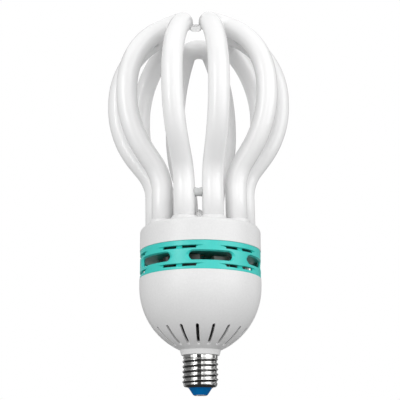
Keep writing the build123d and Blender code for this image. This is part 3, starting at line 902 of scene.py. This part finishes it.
class LAMP_OT_lower_housing(bpy.types.Operator):
    """Turn the bowl with its collar and cut the slots round it"""
    bl_idname = "lamp.lower_housing"
    bl_label = "Lower Housing"

    def execute(self, context):
        sizes = context.scene.lamp_sizes
        outside = self.bowl_line(0, COLLAR_UPPER_RADIUS, BOWL_BOTTOM)
        inside = self.bowl_line(BOWL_WALL, NECK_BORE, BOWL_BOTTOM + BOWL_WALL / 2)
        neck_bottom = COLLAR_BOTTOM - NECK_DEPTH
        collar = [
            (COLLAR_LOWER_RADIUS, COLLAR_BOTTOM), (NECK_RADIUS, COLLAR_BOTTOM),
            (NECK_RADIUS, neck_bottom), (NECK_BORE, neck_bottom),
        ]
        profile = outside + collar + inside[::-1]
        housing = new_piece("bowl_body", [lathe(profile)])
        middle = COLLAR_UPPER_RADIUS + BOWL_SLOT_MARGIN + sizes.bowl_slot_length / 2
        spot = Matrix.Translation((0, -middle, BOWL_BOTTOM + BOWL_CUT_RISE))
        upright = spot @ Matrix.Rotation(math.pi / 2, 4, "Z")
        cuts = []
        for index in range(sizes.bowl_slots):
            turn = Matrix.Rotation(BOWL_SLOT_TURN + index * 2 * math.pi / sizes.bowl_slots, 4, "Z")
            outline = stadium(sizes.bowl_slot_length, sizes.bowl_slot_width, segments=24)
            cuts.append(prism(outline, BOWL_CUT_DEPTH, turn @ upright))
        combine(housing, cuts)
        round_edges(housing, sizes.edge_round)
        dress(housing, moulded_white("white_lower"), ["lower_housing"], sharp=40)
        return {"FINISHED"}

    def bowl_line(self, inset, foot_radius, foot_height):
        """Outline from the rim down a rounded shoulder and a tangent sweep to the foot."""
        radius = HOUSING_RADIUS - inset
        bend = BOWL_SHOULDER - inset
        band = (radius - bend, RING_BOTTOM - BOWL_RIM_BAND)
        shoulder = arc(band, bend, 0, -BOWL_SHOULDER_TURN, BOWL_ARC_STEPS)
        start = Vector(shoulder[-1])
        foot = Vector((foot_radius, foot_height))
        chord = foot - start
        side = Vector((-math.cos(BOWL_SHOULDER_TURN), math.sin(BOWL_SHOULDER_TURN)))
        reach = chord.length_squared / (2 * chord.dot(side))
        centre = start + side * reach
        opening = start - centre
        closing = foot - centre
        first = math.atan2(opening.y, opening.x)
        turn = math.remainder(math.atan2(closing.y, closing.x) - first, 2 * math.pi)
        sweep = arc(centre, abs(reach), first, first + turn, BOWL_ARC_STEPS)
        return [(radius, RING_BOTTOM)] + shoulder + sweep[1:]


class LAMP_OT_screw_cap(bpy.types.Operator):
    """Roll the threaded shell and turn the insulator and centre contact"""
    bl_idname = "lamp.screw_cap"
    bl_label = "Screw Cap"

    def execute(self, context):
        sizes = context.scene.lamp_sizes
        shell = new_piece("threaded_shell", [self.thread(sizes), self.foot()])
        dress(shell, nickel_plate("plated_cap"), ["screw_shell"])
        cone = self.insulator()
        dress(cone, blue_enamel("blue_insulator"), ["cap_insulator"], sharp=40)
        contact = self.contact()
        solder = tinned_metal("contact_metal", context.scene.lamp_colours.contact, 0.3)
        dress(contact, solder, ["centre_contact"])
        return {"FINISHED"}

    def thread(self, sizes):
        """Wavy outline turned once while it climbs one pitch, then trimmed top and bottom."""
        pitch = sizes.thread_pitch
        bottom = CAP_BOTTOM + FOOT_HEIGHT
        count = math.ceil((CAP_TOP - bottom) / pitch) + SPARE_TURNS
        mesh = bmesh.new()
        last = None
        for index in range(count * ROWS_PER_PITCH + 1):
            height = CAP_BOTTOM + THREAD_LIFT - TURNS_BELOW * pitch + index * pitch / ROWS_PER_PITCH
            wave = (0.5 + 0.5 * math.cos(2 * math.pi * index / ROWS_PER_PITCH)) ** THREAD_SHARPNESS
            vert = mesh.verts.new((THREAD_RADIUS - sizes.thread_depth * (1 - wave), 0, height))
            if last:
                mesh.edges.new((last, vert))
            last = vert
        bmesh.ops.spin(
            mesh, geom=mesh.verts[:] + mesh.edges[:], cent=(0, 0, 0), axis=(0, 0, 1),
            dvec=(0, 0, pitch / THREAD_STEPS), angle=2 * math.pi, steps=THREAD_STEPS,
            use_merge=False, use_duplicate=False)
        tidy(mesh)
        for height, direction in ((bottom, -1), (CAP_TOP, 1)):
            bmesh.ops.bisect_plane(
                mesh, geom=mesh.verts[:] + mesh.edges[:] + mesh.faces[:],
                plane_co=(0, 0, height), plane_no=(0, 0, direction), clear_outer=True)
        for vert in mesh.verts:
            self.ease(vert, bottom)
        return mesh

    def ease(self, vert, bottom):
        """Run the thread out into the plain band above and the rounded foot below."""
        radius = math.hypot(vert.co.x, vert.co.y)
        above = min(1.0, max(0.0, (vert.co.z - THREAD_TOP) / THREAD_RUN_OUT))
        below = min(1.0, max(0.0, (bottom + THREAD_RUN_OUT - vert.co.z) / THREAD_RUN_OUT))
        target = radius + (PLAIN_BAND_RADIUS - radius) * above
        target += (FOOT_RADIUS - target) * below
        vert.co.x *= target / radius
        vert.co.y *= target / radius

    def foot(self):
        """Rounded lower end of the shell, rolled in to the insulator."""
        bend = (FOOT_RADIUS - FOOT_BEND, CAP_BOTTOM + FOOT_HEIGHT)
        side = arc(bend, FOOT_BEND, 0, -FOOT_SWEEP, steps=10)
        roll = arc((RIM_RADIUS - RIM_ROLL, CAP_BOTTOM + RIM_ROLL), RIM_ROLL, *RIM_SWEEP, steps=6)
        lip = [(INSULATOR_RADIUS, CAP_BOTTOM + rise) for rise in RIM_LIP]
        return lathe(side + roll + lip, THREAD_STEPS, closed=False)

    def insulator(self):
        """Cone whose upper end sits inside the shell's rim."""
        radius = INSULATOR_RADIUS - INSULATOR_GAP
        sunk = CAP_BOTTOM + INSULATOR_SUNK
        profile = [
            (0, CAP_TIP), (INSULATOR_TIP_RADIUS - INSULATOR_EDGE, CAP_TIP),
            (INSULATOR_TIP_RADIUS, CAP_TIP + INSULATOR_EDGE),
            (radius, CAP_BOTTOM), (radius, sunk), (0, sunk),
        ]
        return new_piece("insulator_cone", [lathe(profile, steps=96)])

    def contact(self):
        """Flat disc with a rounded lower rim."""
        rim = arc((CONTACT_RADIUS - CONTACT_EDGE, CONTACT_EDGE), CONTACT_EDGE, -math.pi / 2, 0, steps=4)
        profile = [(0, 0)] + rim + [(CONTACT_RADIUS, CONTACT_THICKNESS), (0, CONTACT_THICKNESS)]
        return new_piece("contact_disc", [lathe(profile, steps=64)])


class LAMP_OT_ballast(bpy.types.Operator):
    """Give the parts inside the housing their finishes"""
    bl_idname = "lamp.ballast"
    bl_label = "Ballast Finishes"

    def execute(self, context):
        tinned = tinned_metal("tinned_wire", (0.78, 0.77, 0.75), 0.25)
        finishes = {
            "tube_cement": plain_solid(
                "cement", (0.72, 0.70, 0.64), 0.9, shade=0.8, grain=0.15, scale=500),
            "heat_shield": plain_solid("shield_plastic", (0.05, 0.56, 0.48), 0.4),
            "filament_leads": tinned,
            "wire_posts": tinned,
            "circuit_board": laminate("board_laminate"),
            "bulk_capacitor": plain_solid("capacitor_sleeve", (0.08, 0.08, 0.09), 0.3),
            "choke_core": plain_solid(
                "ferrite", (0.08, 0.08, 0.085), 0.55, shade=0.7, grain=0.05, scale=700),
            "choke_bobbin": plain_solid("bobbin_plastic", (0.10, 0.10, 0.10), 0.5),
            "choke_winding": wound_copper("copper_wire"),
            "filter_choke": plain_solid("choke_sleeve", (0.02, 0.02, 0.02), 0.35),
            "drive_toroid": plain_solid(
                "toroid_ferrite", (0.06, 0.08, 0.06), 0.5, shade=0.7, grain=0.05, scale=700),
            "film_capacitors": plain_solid("film_block", (0.06, 0.07, 0.06), 0.4),
            "power_transistors": plain_solid("transistor_resin", (0.025, 0.025, 0.025), 0.5),
            "heat_sink": tinned_metal("sink_aluminium", (0.17, 0.19, 0.19), 0.6),
            "rectifier_diodes": plain_solid("diode_resin", (0.02, 0.02, 0.02), 0.45),
            "thermistor": plain_solid("thermistor_coat", (0.60, 0.62, 0.60), 0.35),
            "fuse": plain_solid("fuse_coat", (0.60, 0.57, 0.50), 0.4),
            "live_lead": plain_solid("lead_insulation_black", (0.02, 0.02, 0.02), 0.4),
            "neutral_lead": plain_solid("lead_insulation_white", (0.75, 0.75, 0.73), 0.45),
        }
        for name, material in finishes.items():
            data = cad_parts[name].data
            data.materials.clear()
            data.materials.append(material)
        return {"FINISHED"}


class LAMP_OT_studio(bpy.types.Operator):
    """Set up the floor, the white surround, the soft lights and the camera"""
    bl_idname = "lamp.studio"
    bl_label = "Studio"

    def execute(self, context):
        self.floor()
        self.surround(context.scene)
        self.lights()
        self.cards()
        self.camera(context.scene)
        context.scene.view_settings.view_transform = "Standard"
        return {"FINISHED"}

    def floor(self):
        """Pale disc below the lamp."""
        mesh = bmesh.new()
        bmesh.ops.create_circle(mesh, cap_ends=True, radius=FLOOR_RADIUS, segments=96)
        bmesh.ops.translate(mesh, verts=mesh.verts, vec=(0, 0, FLOOR_HEIGHT))
        floor = new_piece("studio_floor", [mesh])
        finish = Finish("studio_floor", (0.72, 0.72, 0.72), roughness=0.7)
        finish.mottle(shade=0.98, scale=3)
        floor.data.materials.append(finish.material)
        floor.visible_diffuse = False

    def surround(self, scene):
        """White where it is seen or mirrored, and a softer light, brightest at the horizon."""
        world = bpy.data.worlds.new("studio_surround")
        world.use_nodes = True
        scene.world = world
        nodes = world.node_tree.nodes
        link = world.node_tree.links.new
        rays = nodes.new("ShaderNodeLightPath").outputs
        shown = rays["Is Camera Ray"]
        for kind in ("Is Glossy Ray", "Is Transmission Ray"):
            either = nodes.new("ShaderNodeMath")
            either.operation = "MAXIMUM"
            link(shown, either.inputs[0])
            link(rays[kind], either.inputs[1])
            shown = either.outputs[0]
        split = nodes.new("ShaderNodeSeparateXYZ")
        link(nodes.new("ShaderNodeTexCoord").outputs["Generated"], split.inputs[0])
        rise = nodes.new("ShaderNodeMapRange")
        rise.inputs["From Min"].default_value = -1.0
        link(split.outputs["Z"], rise.inputs["Value"])
        tone = nodes.new("ShaderNodeValToRGB")
        link(rise.outputs["Result"], tone.inputs["Fac"])
        stops = tone.color_ramp.elements
        while len(stops) < len(SURROUND_TONES):
            stops.new(1.0)
        for stop, (height, grey) in zip(stops, SURROUND_TONES):
            stop.position = height
            stop.color = (grey, grey, grey, 1.0)
        level = nodes.new("ShaderNodeMapRange")
        link(tone.outputs["Color"], level.inputs["To Min"])
        link(shown, level.inputs["Value"])
        background = nodes["Background"]
        background.inputs["Color"].default_value = (1, 1, 1, 1)
        link(level.outputs["Result"], background.inputs["Strength"])

    def lights(self):
        """Rectangular softboxes, aimed at the middle of the lamp."""
        for name, (azimuth, elevation, distance, size, power) in SOFTBOXES.items():
            turn = math.radians(azimuth)
            rise = math.radians(elevation)
            level = math.cos(rise)
            way = Vector((math.sin(turn) * level, -math.cos(turn) * level, math.sin(rise)))
            light = bpy.data.lights.new(name, "AREA")
            light.shape = "RECTANGLE"
            light.size, light.size_y = size
            light.energy = power
            softbox = bpy.data.objects.new(name, light)
            softbox.location = Vector((0, 0, AIM_HEIGHT)) + way * distance
            softbox.rotation_euler = way.to_track_quat("Z", "Y").to_euler()
            bpy.context.scene.collection.objects.link(softbox)

    def cards(self):
        """Dark and grey cards that only mirror-like surfaces pick up."""
        finishes = {}
        for tone, grey in CARD_TONES.items():
            finishes[tone] = Finish(f"{tone}_card", (grey, grey, grey), roughness=0.9)
            finishes[tone].mottle(shade=0.9, scale=5)
        height = FLOOR_HEIGHT + CARD_LIFT
        front = Matrix.Translation((0, -CARD_DISTANCE, height + CARD_HEIGHT / 2))
        for name, (tone, azimuth, width) in CARDS.items():
            turn = Matrix.Rotation(math.radians(azimuth), 4, "Z")
            upright = turn @ front @ Matrix.Rotation(math.pi / 2, 4, "X")
            self.card(name, finishes[tone], rectangle(width, CARD_HEIGHT), upright)
        low = bmesh.new()
        bmesh.ops.create_circle(low, cap_ends=True, radius=LOW_CARD_RADIUS, segments=64)
        self.card("low_card", finishes["dark"], low, Matrix.Translation((*LOW_CARD_PLACE, height)))

    def card(self, name, finish, mesh, place):
        """One card, hidden from the camera and from the soft light."""
        card = new_piece(name, [placed(mesh, place)])
        card.data.materials.append(finish.material)
        card.visible_camera = False
        card.visible_diffuse = False
        card.visible_shadow = False
        card.visible_transmission = False

    def camera(self, scene):
        """A little below the cap and tilted up."""
        camera = bpy.data.objects.new("camera", bpy.data.cameras.new("camera"))
        camera.location = CAMERA_PLACE
        camera.rotation_euler = (CAMERA_PITCH, 0, 0)
        camera.data.lens = CAMERA_LENS
        camera.data.sensor_width = CAMERA_SENSOR
        scene.collection.objects.link(camera)
        scene.camera = camera


class LAMP_PT_panel(bpy.types.Panel):
    """Sizes, colours and pieces of the lamp"""
    bl_idname = "LAMP_PT_panel"
    bl_label = "Fluorescent Lamp"
    bl_space_type = "VIEW_3D"
    bl_region_type = "UI"
    bl_category = "Lamp"

    def draw(self, context):
        for group in (context.scene.lamp_sizes, context.scene.lamp_colours):
            column = self.layout.column()
            for name in group.__annotations__:
                column.prop(group, name)
        for operator in OPERATORS:
            self.layout.operator(operator.bl_idname)


OPERATORS = (
    LAMP_OT_discharge_tubes,
    LAMP_OT_glass_bridges,
    LAMP_OT_silicone_joints,
    LAMP_OT_tube_holder,
    LAMP_OT_vent_ring,
    LAMP_OT_lower_housing,
    LAMP_OT_screw_cap,
    LAMP_OT_ballast,
    LAMP_OT_studio,
)
CLASSES = (LampSizes, LampColours, LAMP_PT_panel) + OPERATORS


def register():
    for item in CLASSES:
        bpy.utils.register_class(item)
    bpy.types.Scene.lamp_sizes = PointerProperty(type=LampSizes)
    bpy.types.Scene.lamp_colours = PointerProperty(type=LampColours)


def unregister():
    del bpy.types.Scene.lamp_colours
    del bpy.types.Scene.lamp_sizes
    for item in reversed(CLASSES):
        bpy.utils.unregister_class(item)


def main():
    """Build the lamp and its studio."""
    register()
    bpy.ops.lamp.discharge_tubes()
    bpy.ops.lamp.glass_bridges()
    bpy.ops.lamp.silicone_joints()
    bpy.ops.lamp.tube_holder()
    bpy.ops.lamp.vent_ring()
    bpy.ops.lamp.lower_housing()
    bpy.ops.lamp.screw_cap()
    bpy.ops.lamp.ballast()
    bpy.ops.lamp.studio()


if __name__ == "__main__":
    main()
